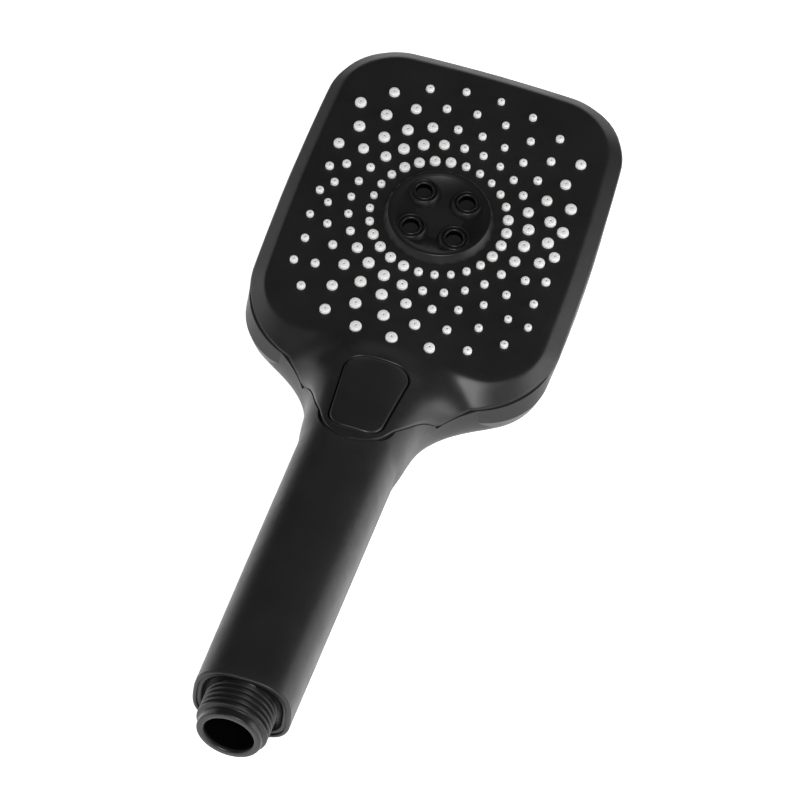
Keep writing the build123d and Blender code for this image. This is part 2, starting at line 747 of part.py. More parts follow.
BUTTON_SKIRT = 1.4
with BuildPart() as button:
    with BuildSketch(Plane.XY):
        add(button_outline(0, 0))
    extrude(amount=BUTTON_TOP + 1)
    add(outside.part, mode=Mode.INTERSECT)
    with BuildSketch(Plane.XY.offset(-1)):
        add(button_outline(0, 1))
    extrude(amount=BUTTON_UNDERSIDE - 2, mode=Mode.SUBTRACT)
    with BuildSketch(Plane.XY.offset(BUTTON_UNDERSIDE - 3)):
        add(button_outline(0, -BUTTON_SKIRT))
    extrude(amount=3, mode=Mode.SUBTRACT)
save("button", button.part)

# ---- water path: duct, tube and inlet -------------------------------------------------------
with BuildPart() as duct_gasket:
    with BuildSketch(Plane.XZ.offset(-BODY_END)):
        with Locations((0, DUCT_Z)):
            RectangleRounded(18, 6.4, 2)
        with Locations((DUCT_HALF_SPACING, DUCT_Z), (-DUCT_HALF_SPACING, DUCT_Z)):
            Circle(DUCT_R, mode=Mode.SUBTRACT)
    extrude(amount=-0.8)
save("duct_gasket", duct_gasket.part)

with BuildPart() as transfer_duct:
    with BuildSketch(Plane.XZ.offset(-BODY_END - 0.8)):
        with Locations((0, DUCT_Z)):
            RectangleRounded(18, 6.4, 2)
        with Locations((DUCT_HALF_SPACING, DUCT_Z), (-DUCT_HALF_SPACING, DUCT_Z)):
            Circle(DUCT_R, mode=Mode.SUBTRACT)
    extrude(amount=-30)
    split(bisect_by=duct_mouth, keep=Keep.BOTTOM)
save("transfer_duct", transfer_duct.part)

inlet_axis = Axis(inlet.origin, inlet.z_dir)
side_of_inlet = Plane(origin=inlet.origin, x_dir=inlet.z_dir, z_dir=(1, 0, 0))
SOCKET_START = 24.0
SOCKET_END = 40.0
SOCKET_R = 6.6
COLLAR_FRONT = 12.5
COLLAR_SEAT = 17.0          # the collar is a cup whose floor starts here
COLLAR_GAP = 0.25
COLLAR_WALL = 1.1
COLLAR_BACK = 20.0
FLANGE_BACK = 22.6
FLANGE_R = 9.7
NECK_R = 9.0
SOCKET_WALL_R = 8.6
with BuildPart() as inlet_connector:
    with BuildSketch(side_of_inlet):
        with BuildLine():
            Polyline(
                (0, INLET_BORE_R),
                (0, LEAD_R - 0.3),
                (0.3, LEAD_R),
                (THREAD_LEAD, LEAD_R),
                (THREAD_LEAD + 0.9, THREAD_R),
                (THREAD_END, THREAD_R),
                (THREAD_END + 0.8, NECK_R),
                (COLLAR_BACK, NECK_R),
                (COLLAR_BACK, FLANGE_R),
                (FLANGE_BACK, FLANGE_R),
                (FLANGE_BACK, SOCKET_WALL_R),
                (SOCKET_END, SOCKET_WALL_R),
                (SOCKET_END, SOCKET_R),
                (SOCKET_START, SOCKET_R),
                (SOCKET_START, SEAT_BORE_R),
                (INLET_BORE_LENGTH, SEAT_BORE_R),
                (INLET_BORE_LENGTH, INLET_BORE_R),
                close=True,
            )
        make_face()
    revolve(axis=inlet_axis)
    with BuildSketch(side_of_inlet):
        with Locations((SOCKET_END - 5, SOCKET_R)):
            Rectangle(1.5, 2.6)
    revolve(axis=inlet_axis, mode=Mode.SUBTRACT)
    with BuildLine(inlet.offset(THREAD_LEAD)) as groove_path:
        Helix(pitch=THREAD_PITCH, height=THREAD_END - THREAD_LEAD + 0.6, radius=THREAD_R)
    start = groove_path.line @ 0
    outward = start - inlet.from_local_coords((0, 0, THREAD_LEAD))
    with BuildSketch(Plane(origin=start, x_dir=outward, z_dir=groove_path.line % 0)):
        Polygon((0.4, 0.9), (0.4, -0.9), (-THREAD_DEPTH, -0.12), (-THREAD_DEPTH, 0.12), align=None)
    sweep(path=groove_path.line, is_frenet=True, mode=Mode.SUBTRACT)
save("inlet_connector", inlet_connector.part)

with BuildPart() as collar_rim:
    body_span(HANDLE_STATIONS, WALL + COLLAR_GAP)
    split(bisect_by=inlet.offset(COLLAR_FRONT), keep=Keep.TOP)
    split(bisect_by=inlet.offset(COLLAR_SEAT), keep=Keep.BOTTOM)

with BuildPart() as collar_cavity:
    body_span(HANDLE_STATIONS, WALL + COLLAR_GAP + COLLAR_WALL)
    split(bisect_by=inlet.offset(COLLAR_SEAT), keep=Keep.BOTTOM)

with BuildPart() as end_collar:
    body_span(HANDLE_STATIONS, WALL)
    split(bisect_by=inlet.offset(COLLAR_SEAT), keep=Keep.TOP)
    split(bisect_by=inlet.offset(COLLAR_BACK), keep=Keep.BOTTOM)
    add(collar_rim.part)
    add(collar_cavity.part, mode=Mode.SUBTRACT)
    with BuildSketch(inlet.offset(COLLAR_FRONT - 1)):
        Circle(NECK_R)
    extrude(amount=12, mode=Mode.SUBTRACT)
save("end_collar", end_collar.part)

with BuildPart() as retaining_clip:
    with BuildSketch(inlet.offset(FLANGE_BACK)):
        Circle(FLANGE_R)
        Circle(SOCKET_WALL_R, mode=Mode.SUBTRACT)
        with Locations((0, FLANGE_R)):
            Rectangle(5, 5, mode=Mode.SUBTRACT)
    extrude(amount=1.2)
save("retaining_clip", retaining_clip.part)

TUBE_END_Y = BODY_START - 0.3
with BuildPart() as water_tube:
    with BuildLine() as route:
        FilletPolyline(
            inlet.from_local_coords((0, 0, 26)),
            inlet.from_local_coords((0, 0, 46)),
            (0, FACE_Y - 122.35, TUBE_Z),
            (0, TUBE_END_Y, TUBE_Z),
            radius=90,
        )
    with BuildSketch(Plane(origin=route.line @ 0, x_dir=(1, 0, 0), z_dir=route.line % 0)):
        Circle(TUBE_R)
        Circle(TUBE_BORE_R, mode=Mode.SUBTRACT)
    sweep()
save("water_tube", water_tube.part)

with BuildPart() as inlet_tube_seal:
    with BuildSketch(side_of_inlet):
        with Locations((SOCKET_END - 5, SOCKET_R + 0.55)):
            Circle(0.6)
    revolve(axis=inlet_axis)
save("inlet_tube_seal", inlet_tube_seal.part)

spigot_axis = Axis((0, BODY_START, TUBE_Z), (0, 1, 0))
with BuildPart() as valve_tube_seal:
    with BuildSketch(Plane.YZ):
        with Locations((BODY_START - 3.6, TUBE_Z + SPIGOT_R - 0.38)):
            Circle(0.43)
    revolve(axis=spigot_axis)
save("valve_tube_seal", valve_tube_seal.part)

LIMITER_FRONT = 17.0
with BuildPart() as flow_limiter:
    with BuildSketch(inlet.offset(LIMITER_FRONT)):
        Circle(SEAT_BORE_R - 0.05)
        with PolarLocations(4.6, 8):
            Circle(1.1, mode=Mode.SUBTRACT)
    extrude(amount=4.5)
save("flow_limiter", flow_limiter.part)

STRAINER_PITCH = 1.7
with BuildPart() as inlet_strainer:
    with BuildSketch(inlet.offset(LIMITER_FRONT - 0.8)):
        Circle(SEAT_BORE_R - 0.05)
        with HexLocations(STRAINER_PITCH / 2, 6, 7):
            Circle(0.55, mode=Mode.SUBTRACT)
    extrude(amount=0.8)
save("inlet_strainer", inlet_strainer.part)

ends = outside.part.bounding_box()
print("body from", round(ends.min.Y, 3), "to", round(ends.max.Y, 3), "lowest", round(ends.min.Z, 3))
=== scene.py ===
"""Looks of a handheld shower head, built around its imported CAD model.

Lengths in the shape code are millimetres in the row frame; MM turns them into metres.
"""

import json
import math

import bmesh
import bpy
from mathutils import Matrix, Vector


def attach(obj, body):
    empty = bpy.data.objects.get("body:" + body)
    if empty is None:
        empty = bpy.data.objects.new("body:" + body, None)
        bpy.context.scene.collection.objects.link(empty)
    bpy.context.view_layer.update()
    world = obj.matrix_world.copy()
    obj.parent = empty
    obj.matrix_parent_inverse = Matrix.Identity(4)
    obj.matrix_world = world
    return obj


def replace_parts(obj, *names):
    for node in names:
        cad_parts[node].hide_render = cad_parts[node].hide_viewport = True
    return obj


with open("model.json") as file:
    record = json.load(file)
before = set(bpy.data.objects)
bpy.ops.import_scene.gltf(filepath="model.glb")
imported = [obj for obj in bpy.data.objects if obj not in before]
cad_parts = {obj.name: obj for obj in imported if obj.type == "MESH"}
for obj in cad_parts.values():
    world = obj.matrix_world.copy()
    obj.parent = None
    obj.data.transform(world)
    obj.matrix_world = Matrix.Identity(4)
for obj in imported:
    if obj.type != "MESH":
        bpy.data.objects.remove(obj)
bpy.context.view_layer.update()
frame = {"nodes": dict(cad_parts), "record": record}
MM = 0.001

# ---- driving dimensions, as in the CAD ------------------------------------------------------
FACE_TILT = math.radians(15.0)
FACE_Y = 71.08
FACE_Z = 36.3
FACE_HALF_WIDTH = 46.8
FACE_TOP = 60.3
FACE_BOTTOM = -57.0
FACE_CORNER = 17.0
RIM_HALF_WIDTH = 51.9
RIM_HALF_HEIGHT = 66.0
RIM_CORNER = 22.0
RIM_LOW_CORNER = 29.0
BARREL = 1.9
BOW = 1.2 * BARREL
RIM_DEPTH = 4.3
BUTTON_Y = FACE_Y - 78.85
BUTTON_LENGTH = 31.6
BUTTON_WIDE = 21.4
BUTTON_NARROW = 16.2
BUTTON_CORNER = 5.2
BUTTON_GAP = 0.4
NECK_TOP = 28.1
RIDGE_HALF_WIDTH = 18.0
RIDGE_SHARE = 0.92

# Distances from the face's centre, along Y, at which one surface hands over to the next.
NECK_ALONE = -66.0
NECK_BLENDS = -62.0
FACE_ALONE = -53.0
TONGUE_TOP = -51.0

# Y from the face's centre, half width, top, bottom, widest height, upper power, upper root,
# lower power
STATIONS = [
    (-205, 14.2, 24.7, 0.0, 10.4, 3.0, 0.36, 3.0),
    (-151, 14.95, 26.2, 1.1, 10.8, 3.0, 0.36, 3.0),
    (-97, 15.6, 27.7, 2.0, 11.0, 3.0, 0.36, 3.0),
    (-90, 16.6, 28.0, 1.9, 11.0, 3.0, 0.36, 3.2),
    (-83, 17.5, 28.1, 1.6, 11.0, 3.0, 0.36, 3.4),
    (-76, 19.0, 28.1, 1.3, 11.4, 2.8, 0.42, 3.7),
    (-69, 22.6, 28.1, 0.9, 12.8, 2.5, 0.65, 4.0),
    (-62, 29.4, 28.1, 0.5, 15.0, 2.0, 1.2, 4.0),
    (-55, 39.5, 28.1, 0.3, 16.2, 2.0, 2.1, 4.0),
    (-48, 43.0, 28.1, 0.3, 17.5, 2.0, 2.4, 4.0),
]


# ---- small helpers --------------------------------------------------------------------------
def face_outward(mesh):
    """Turns every face of a closed mesh to look outward."""
    shape = bmesh.new()
    shape.from_mesh(mesh)
    bmesh.ops.recalc_face_normals(shape, faces=shape.faces)
    shape.to_mesh(mesh)
    shape.free()


def mesh_piece(name, points, faces, body, material, smooth=True):
    """A mesh from points in millimetres, which rides on a body and has one material."""
    mesh = bpy.data.meshes.new(name)
    mesh.from_pydata([Vector(p) * MM for p in points], [], faces)
    mesh.validate()
    face_outward(mesh)
    for polygon in mesh.polygons:
        polygon.use_smooth = smooth
    piece = bpy.data.objects.new(name, mesh)
    bpy.context.scene.collection.objects.link(piece)
    mesh.materials.append(material)
    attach(piece, body)
    return piece


def lerp(a, b, t):
    return a + (b - a) * t


def smoothstep(low, high, value):
    t = max(0.0, min(1.0, (value - low) / (high - low)))
    return t * t * (3 - 2 * t)


def soft_max(a, b, width):
    """The larger of two heights, with a fillet where they cross."""
    return (a + b + math.sqrt((a - b) ** 2 + width ** 2)) / 2


def face_point(x, y, z):
    """A point given on the spray face's plane, in the row frame."""
    return (
        x,
        FACE_Y + y * math.cos(FACE_TILT) - z * math.sin(FACE_TILT),
        FACE_Z + y * math.sin(FACE_TILT) + z * math.cos(FACE_TILT),
    )


# ---- materials ------------------------------------------------------------------------------
def new_material(name):
    material = bpy.data.materials.new(name)
    material.use_nodes = True
    nodes = material.node_tree.nodes
    links = material.node_tree.links
    return material, nodes, links, nodes["Principled BSDF"]


def noise_node(nodes, links, place, scale, detail, roughness=0.5):
    texture = nodes.new("ShaderNodeTexNoise")
    texture.inputs["Scale"].default_value = scale
    texture.inputs["Detail"].default_value = detail
    texture.inputs["Roughness"].default_value = roughness
    links.new(place.outputs["Object"], texture.inputs["Vector"])
    return texture


def range_node(nodes, links, source, low, high, from_low=0.3, from_high=0.7):
    """Maps a noise value to a range of numbers."""
    mapped = nodes.new("ShaderNodeMapRange")
    mapped.inputs["From Min"].default_value = from_low
    mapped.inputs["From Max"].default_value = from_high
    mapped.inputs["To Min"].default_value = low
    mapped.inputs["To Max"].default_value = high
    links.new(source, mapped.inputs["Value"])
    return mapped


def moulded(name, dark, light, rough, grain, bump, wear_and_highlight=0.0, specular=0.5):
    """Moulded plastic or rubber: cloudy colour, uneven gloss, fine spark-erosion grain, and paler sharp
    edges, partly rub wear and partly a painted edge highlight.
    """
    material, nodes, links, shader = new_material(name)
    place = nodes.new("ShaderNodeTexCoord")
    cloud = noise_node(nodes, links, place, 45.0, 4.0)
    ramp = nodes.new("ShaderNodeValToRGB")
    ramp.color_ramp.elements[0].position = 0.35
    ramp.color_ramp.elements[1].position = 0.7
    ramp.color_ramp.elements[0].color = (*dark, 1)
    ramp.color_ramp.elements[1].color = (*light, 1)
    links.new(cloud.outputs["Fac"], ramp.inputs["Fac"])
    colour = ramp.outputs["Color"]
    gloss = noise_node(nodes, links, place, 130.0, 5.0, 0.6)
    uneven = range_node(nodes, links, gloss.outputs["Fac"], rough[0], rough[1])
    roughness = uneven.outputs["Result"]
    # Paler colour in patches on sharp convex edges: partly rub wear, partly a painted edge highlight.
    if wear_and_highlight:
        edge = nodes.new("ShaderNodeNewGeometry")
        edge_mask = range_node(nodes, links, edge.outputs["Pointiness"], 0.0, wear_and_highlight, 0.52, 0.6)
        patchy = noise_node(nodes, links, place, 400.0, 6.0, 0.7)
        share = nodes.new("ShaderNodeMath")
        share.operation = "MULTIPLY"
        links.new(edge_mask.outputs["Result"], share.inputs[0])
        links.new(patchy.outputs["Fac"], share.inputs[1])
        mix = nodes.new("ShaderNodeMix")
        mix.data_type = "RGBA"
        mix.inputs["B"].default_value = (*[min(1.0, c * 3 + 0.03) for c in light], 1)
        links.new(share.outputs["Value"], mix.inputs["Factor"])
        links.new(colour, mix.inputs["A"])
        colour = mix.outputs["Result"]
    links.new(colour, shader.inputs["Base Color"])
    links.new(roughness, shader.inputs["Roughness"])
    shader.inputs["Specular IOR Level"].default_value = specular
    texture = noise_node(nodes, links, place, grain, 3.0, 0.55)
    relief = nodes.new("ShaderNodeBump")
    relief.inputs["Strength"].default_value = bump
    relief.inputs["Distance"].default_value = 0.00003
    links.new(texture.outputs["Fac"], relief.inputs["Height"])
    links.new(relief.outputs["Normal"], shader.inputs["Normal"])
    return material, shader


shell_black, _ = moulded(
    "shell_black", (0.014, 0.014, 0.0145), (0.018, 0.018, 0.019),
    rough=(0.38, 0.46), grain=5200.0, bump=0.30, wear_and_highlight=0.1, specular=0.38,
)
cover_black, _ = moulded(
    "cover_black", (0.015, 0.015, 0.0155), (0.019, 0.019, 0.020),
    rough=(0.32, 0.40), grain=5600.0, bump=0.22, wear_and_highlight=0.1, specular=0.38,
)
jet_black, _ = moulded(
    "jet_black", (0.010, 0.010, 0.0103), (0.013, 0.013, 0.0135),
    rough=(0.30, 0.38), grain=3000.0, bump=0.12, specular=0.3,
)
stub_black, _ = moulded(
    "stub_black", (0.011, 0.011, 0.0115), (0.015, 0.015, 0.016),
    rough=(0.28, 0.38), grain=4800.0, bump=0.2, wear_and_highlight=0.05, specular=0.35,
)
# Near-black and nearly glossless: painted shade, given to bores, orifices, seams and the button's gap
# where shade falls.
shade_black, _ = moulded(
    "shade_black", (0.0006, 0.0006, 0.0006), (0.001, 0.001, 0.001),
    rough=(0.7, 0.9), grain=3000.0, bump=0.1, specular=0.03,
)
white_rubber, white_shader = moulded(
    "white_rubber", (0.86, 0.86, 0.85), (0.93, 0.93, 0.92),
    rough=(0.45, 0.58), grain=4200.0, bump=0.12,
)
white_shader.inputs["Subsurface Weight"].default_value = 0.2
white_shader.inputs["Subsurface Radius"].default_value = (0.0008, 0.0008, 0.0007)
inner_grey, _ = moulded(
    "inner_grey", (0.26, 0.27, 0.28), (0.36, 0.37, 0.38),
    rough=(0.4, 0.55), grain=3000.0, bump=0.2,
)
seal_black, _ = moulded(
    "seal_black", (0.03, 0.03, 0.03), (0.05, 0.05, 0.05),
    rough=(0.6, 0.75), grain=2500.0, bump=0.3,
)
strainer_white, _ = moulded(
    "strainer_white", (0.66, 0.66, 0.64), (0.78, 0.78, 0.76),
    rough=(0.4, 0.5), grain=3000.0, bump=0.2,
)
steel, steel_shader = moulded(
    "steel", (0.48, 0.48, 0.48), (0.62, 0.62, 0.62),
    rough=(0.25, 0.4), grain=2200.0, bump=0.2,
)
steel_shader.inputs["Metallic"].default_value = 1.0

BY_SLOT = {
    "black_shell": shell_black,
    "black_cover": cover_black,
    "white_silicone": white_rubber,
    "black_jet": jet_black,
    "inner_plastic": inner_grey,
    "seal_rubber": seal_black,
    "steel": steel,
    "strainer_white": strainer_white,
}
for part in frame["record"]["subparts"]:
    node = frame["nodes"][part["node"]]
    node.data.materials.clear()
    node.data.materials.append(BY_SLOT[part["material_slot"]])
# The swirl cores get the near-black material: painted shade deep in the jets' bores.
frame["nodes"]["swirl_cores"].data.materials[0] = shade_black


# ---- the body's outside ---------------------------------------------------------------------
def station_at(y):
    """The station at y from the face's centre, eased between its neighbours."""
    if y <= STATIONS[0][0]:
        return STATIONS[0]
    for index in range(len(STATIONS) - 1):
        if y <= STATIONS[index + 1][0]:
            break
    else:
        return STATIONS[-1]
    before = STATIONS[max(index - 1, 0)]
    low, high = STATIONS[index], STATIONS[index + 1]
    after = STATIONS[min(index + 2, len(STATIONS) - 1)]
    span = high[0] - low[0]
    t = (y - low[0]) / span
    values = [y]
    for k in range(1, len(low)):
        slope_low = 0.0 if before is low else (high[k] - before[k]) / (high[0] - before[0]) * span
        slope_high = 0.0 if after is high else (after[k] - low[k]) / (after[0] - low[0]) * span
        values.append(
            (2 * t ** 3 - 3 * t ** 2 + 1) * low[k]
            + (t ** 3 - 2 * t ** 2 + t) * slope_low
            + (3 * t ** 2 - 2 * t ** 3) * high[k]
            + (t ** 3 - t ** 2) * slope_high
        )
    return values


def neck_height(x, y):
    """Height of the neck's upper surface, y from the face's centre."""
    _, half_width, top, _, widest, power, root, _ = station_at(y)
    across = min(1.0, abs(x) / half_width)
    return widest + (top - widest) * max(0.0, 1 - across ** power) ** root


def rim_distance(x, y):
    """Distance outside the head's outline at the joint, x and y on the face."""
    corner = RIM_CORNER if y > 0 else RIM_LOW_CORNER
    return outline_distance(x, y, RIM_HALF_WIDTH, RIM_HALF_HEIGHT, -RIM_HALF_HEIGHT, corner)


def outline_distance(x, y, half_width, top, bottom, corner):
    """Distance outside a rounded rectangle whose sides bulge; negative inside it."""
    middle = (top + bottom) / 2
    half_height = (top - bottom) / 2
    along = min(1.2, abs(y - middle) / half_height)
    across = min(1.2, abs(x) / half_width)
    half_x = half_width - BOW * along ** 2
    half_y = half_height - BOW * across ** 2
    dx = abs(x) - half_x + corner
    dy = abs(y - middle) - half_y + corner
    outside = math.hypot(max(dx, 0.0), max(dy, 0.0))
    return outside + min(max(dx, dy), 0.0) - corner


def head_height(x, y):
    """Height of the spray face and its bevelled edge, y from the face's centre in the row."""
    z = 0.0
    for _ in range(3):
        on_face = (y + z * math.sin(FACE_TILT)) / math.cos(FACE_TILT)
        flat = outline_distance(x, on_face, FACE_HALF_WIDTH, FACE_TOP, FACE_BOTTOM, FACE_CORNER)
        rim = rim_distance(x, on_face)
        share = flat / max(flat - rim, 0.3) if flat > -2 else -1.0
        share = (share + math.sqrt(share ** 2 + 0.012)) / 2 if share > -0.9 else 0.0
        z = -RIM_DEPTH * min(share, 3.0)
    return FACE_Z + y * math.tan(FACE_TILT) + z / math.cos(FACE_TILT)


def ridge_height(x, y, head):
    """Height of the head where the neck's ridge runs out on the spray face."""
    plane = FACE_Z + y * math.tan(FACE_TILT)
    above = NECK_TOP - plane
    above = (above + math.sqrt(above ** 2 + 0.5)) / 2
    centre = 1 - smoothstep(12.0, 30.0, abs(x)) if y < 0 else 0.0
    fade = 1 - smoothstep(24.0, 42.0, abs(x))
    swell = RIDGE_SHARE * above * fade / (1 + (x / RIDGE_HALF_WIDTH) ** 2)
    return lerp(head, plane, centre) + swell


def cover_height(x, y):
    """Height of the cover's surface over the table at x and row y."""
    y = y - FACE_Y
    neck = neck_height(x, y)
    if y < NECK_ALONE:
        return neck
    head = head_height(x, y)
    head = lerp(head, min(head, neck), smoothstep(-60.0, NECK_ALONE, y))
    joined = soft_max(head, neck, 0.7)
    return lerp(joined, ridge_height(x, y, head), smoothstep(NECK_BLENDS, FACE_ALONE, y))


def spline_points(points, steps):
    """Points along a smooth curve through the given ones."""
    curve = []
    for index in range(len(points) - 1):
        p0 = Vector(points[max(index - 1, 0)])
        p1 = Vector(points[index])
        p2 = Vector(points[index + 1])
        p3 = Vector(points[min(index + 2, len(points) - 1)])
        for step in range(steps):
            t = step / steps
            curve.append(
                0.5
                * (
                    2 * p1
                    + (p2 - p0) * t
                    + (2 * p0 - 5 * p1 + 4 * p2 - p3) * t ** 2
                    + (3 * p1 - p0 - 3 * p2 + p3) * t ** 3
                )
            )
    curve.append(Vector(points[-1]))
    return curve


TONGUE = [
    (0.0, -99.2),
    (4.4, -98.1),
    (8.6, -94.9),
    (12.1, -88.6),
    (14.5, -84.0),
    (19.1, -73.2),
    (25.0, -66.4),
    (34.0, -60.2),
    (45.0, -58.0),
    (60.0, -57.0),
]
TONGUE_EDGE = spline_points(TONGUE, 10)
COVER_CENTRE = Vector((0.0, -50.0))
RAYS = 540


def tongue_limit(x):
    """The tongue's edge at x: row y from the face's centre below which nothing is cover."""
    for a, b in zip(TONGUE_EDGE, TONGUE_EDGE[1:]):
        if a.x <= abs(x) <= b.x and b.x > a.x:
            return lerp(a.y, b.y, (abs(x) - a.x) / (b.x - a.x))
    return TONGUE_EDGE[-1].y


def in_cover(x, y):
    """Whether a point, y from the face's centre in the row, lies inside the cover's outline."""
    if y < min(TONGUE_TOP, tongue_limit(x)):
        return False
    on_face = (y - RIM_DEPTH * math.sin(FACE_TILT)) / math.cos(FACE_TILT)
    if rim_distance(x, on_face) < 0:
        return True
    joint = FACE_Z - RIM_DEPTH + y * math.tan(FACE_TILT)
    return y < TONGUE_TOP and abs(x) < station_at(y)[1] and neck_height(x, y) > joint


def cover_reach(angle):
    """How far the cover goes from its centre in one direction."""
    low, high = 0.0, 140.0
    direction = Vector((math.sin(angle), math.cos(angle)))
    for _ in range(26):
        middle = (low + high) / 2
        point = COVER_CENTRE + direction * middle
        if in_cover(point.x, point.y):
            low = middle
        else:
            high = middle
    return low


def drop_off(distance, radius):
    """How far a rounded edge lies below its surface, at a distance inside the edge."""
    return radius - math.sqrt(max(0.0, radius ** 2 - max(0.0, radius - distance) ** 2))


def ring_faces(first, second, count, faces):
    """Quads between two rings of points."""
    for k in range(count):
        nxt = (k + 1) % count
        faces.append((first + k, second + k, second + nxt, first + nxt))


def closed_solid(name, rings, count, tip_point=None):
    """A closed mesh object from rings of points, with a point at each end."""
    points = [point for ring in rings for point in ring]
    faces = []
    for index in range(len(rings) - 1):
        ring_faces(index * count, (index + 1) * count, count, faces)
    for ring, at in ((rings[0], 0), (rings[-1], (len(rings) - 1) * count)):
        centre = [sum(p[axis] for p in ring) / count for axis in range(3)]
        points.append(tip_point if tip_point and at else centre)
        tip = len(points) - 1
        for k in range(count):
            nxt = (k + 1) % count
            faces.append((at + k, at + nxt, tip) if at == 0 else (at + nxt, at + k, tip))
    mesh = bpy.data.meshes.new(name)
    mesh.from_pydata([Vector(p) * MM for p in points], [], faces)
    face_outward(mesh)
    piece = bpy.data.objects.new(name, mesh)
    bpy.context.scene.collection.objects.link(piece)
    return piece


def cut_away(piece, cutter):
    """Cuts one closed mesh from another and removes the cutter."""
    cut = piece.modifiers.new("cut", "BOOLEAN")
    cut.operation = "DIFFERENCE"
    cut.solver = "MANIFOLD"
    cut.object = cutter
    bpy.context.view_layer.update()
    evaluated = piece.evaluated_get(bpy.context.evaluated_depsgraph_get())
    mesh = bpy.data.meshes.new_from_object(evaluated)
    piece.modifiers.clear()
    piece.data = mesh
    bpy.data.objects.remove(cutter)


def finish_piece(piece, body, material, sharp=35.0):
    """Material, smooth shading up to an angle, and body of a piece made elsewhere."""
    piece.data.materials.clear()
    piece.data.materials.append(material)
    piece.data.polygons.foreach_set("use_smooth", [True] * len(piece.data.polygons))
    piece.data.set_sharp_from_angle(angle=math.radians(sharp))
    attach(piece, body)
    return piece


# ---- nozzles --------------------------------------------------------------------------------
RING_RADII = (22.5, 29.3, 36.25, 44.2, 52.3)
RING_COUNT = 27
RING_STEP = 360 / RING_COUNT
NOZZLE_RADII = (1.95, 1.8, 1.43, 1.33, 1.23)
NOZZLE_HEIGHT = 1.15
NOZZLE_CLEARANCE = 0.17
ORIFICE_R = 0.24
RING_4_REACH = 39.7
RING_5_REACH = 39.0
RING_5_SPAN = 42.5
PLATE = 2.4
MAT_THICKNESS = 1.2


def nozzle_layout():
    """Every nozzle's x, y and radius on the face, and the height of the surface under it."""
    nozzles = []
    for ring, radius in enumerate(RING_RADII):
        start = RING_STEP / 2 if ring % 2 == 0 else RING_STEP
        for index in range(RING_COUNT):
            angle = start + RING_STEP * index
            x = radius * math.sin(math.radians(angle))
            y = radius * math.cos(math.radians(angle))
            reach = RING_4_REACH if ring == 3 else RING_5_REACH
            if ring == 4 and abs(x) > RING_5_SPAN:
                continue
            if ring > 2:
                x = max(-reach, min(reach, x))
            lobe = -2 * RING_STEP - RING_STEP / 2 * ring
            away = abs((angle - lobe + 60) % 120 - 60) / RING_STEP
            size = min(4, int(away + 0.01))
            if ring == 0:
                size = max(1, size)
            rise = 0.0
            for _ in range(3):
                _, row_y, _ = face_point(x, y, rise)
                plane = FACE_Z + (row_y - FACE_Y) * math.tan(FACE_TILT)
                rise = (cover_height(x, row_y) - plane) * math.cos(FACE_TILT)
            nozzles.append((x, y, NOZZLE_RADII[size], rise))
    return nozzles


def lathe(profile, x, y, count):
    """Rings of points round an axis that stands on the face at x, y; profile is (radius, z)."""
    rings = []
    for radius, z in profile:
        ring = []
        for k in range(count):
            angle = 2 * math.pi * k / count
            ring.append(face_point(x + radius * math.cos(angle), y + radius * math.sin(angle), z))
        rings.append(ring)
    return rings


def make_nozzles(nozzles):
    """The silicone mat: a sheet behind the face, and a domed tip with an orifice at each nozzle."""
    count = 28
    points = []
    faces = []
    orifice_shade_faces = []
    for x, y, radius, rise in nozzles:
        top = rise + NOZZLE_HEIGHT
        dome = min(0.62, radius * 0.4)
        profile = [(radius, -PLATE - 0.2), (radius, rise + 0.1), (radius * 0.975, top - dome)]
        for step in range(1, 6):
            turn = math.pi / 2 * step / 6
            profile.append(
                (radius * 0.975 - dome * 1.25 * (1 - math.cos(turn)), top - dome * (1 - math.sin(turn)))
            )
        profile += [(radius * 0.45, top + 0.05), (ORIFICE_R + 0.1, top + 0.06), (ORIFICE_R, top)]
        profile += [(ORIFICE_R * 0.9, top - 0.25), (ORIFICE_R * 0.8, top - 1.2)]
        rings = lathe(profile, x, y, count)
        base = len(points)
        for ring in rings:
            points += ring
        for index in range(len(rings) - 1):
            # The orifice's inner wall and its closed end go near-black: painted shade down each hole.
            if index == len(rings) - 2:
                orifice_shade_faces += range(len(faces), len(faces) + count)
            ring_faces(base + (index + 1) * count, base + index * count, count, faces)
        points.append(face_point(x, y, top - 1.2))
        last = base + (len(rings) - 1) * count
        for k in range(count):
            orifice_shade_faces.append(len(faces))
            faces.append((last + k, last + (k + 1) % count, len(points) - 1))
    sheet = []
    for z, inset in ((-PLATE - 0.15, 0.6), (-PLATE, 0.9)):
        sheet.append([face_point(px, py, z) for px, py in inner_loop(inset)])
    sheet.append([face_point(px, py, -PLATE - MAT_THICKNESS) for px, py in inner_loop(0.6)])
    size = len(sheet[0])
    base = len(points)
    for ring in sheet:
        points += ring
    ring_faces(base, base + size, size, faces)
    ring_faces(base + 2 * size, base, size, faces)
    faces.append(tuple(range(base + size, base + 2 * size)))
    faces.append(tuple(reversed(range(base + 2 * size, base + 3 * size))))
    piece = mesh_piece("nozzle_mat_skin", points, faces, "shower", white_rubber)
    # Second material, near-black, on the faces inside each orifice: painted shade.
    piece.data.materials.append(shade_black)
    for index in orifice_shade_faces:
        piece.data.polygons[index].material_index = 1
    piece.data.set_sharp_from_angle(angle=math.radians(50))
    return piece


def inner_loop(inset):
    """Outline of the silicone sheet, a rounded rectangle, as points on the face."""
    half_width, top, bottom, corner = 45.2 - inset, 58.6 - inset, -55.4 + inset, 15.5 - inset
    loop = []
    corners = ((1, 1, top, 0), (-1, 1, top, 90), (-1, -1, bottom, 180), (1, -1, bottom, 270))
    for side_x, side_y, end, start in corners:
        for step in range(13):
            angle = math.radians(start + 90 * step / 12)
            loop.append(
                (
                    side_x * (half_width - corner) + corner * math.cos(angle),
                    end - side_y * corner + corner * math.sin(angle),
                )
            )
    return loop


# ---- button ---------------------------------------------------------------------------------
BUTTON_EDGE = 0.7
ARC_STEPS = 10
SIDE_STEPS = 14


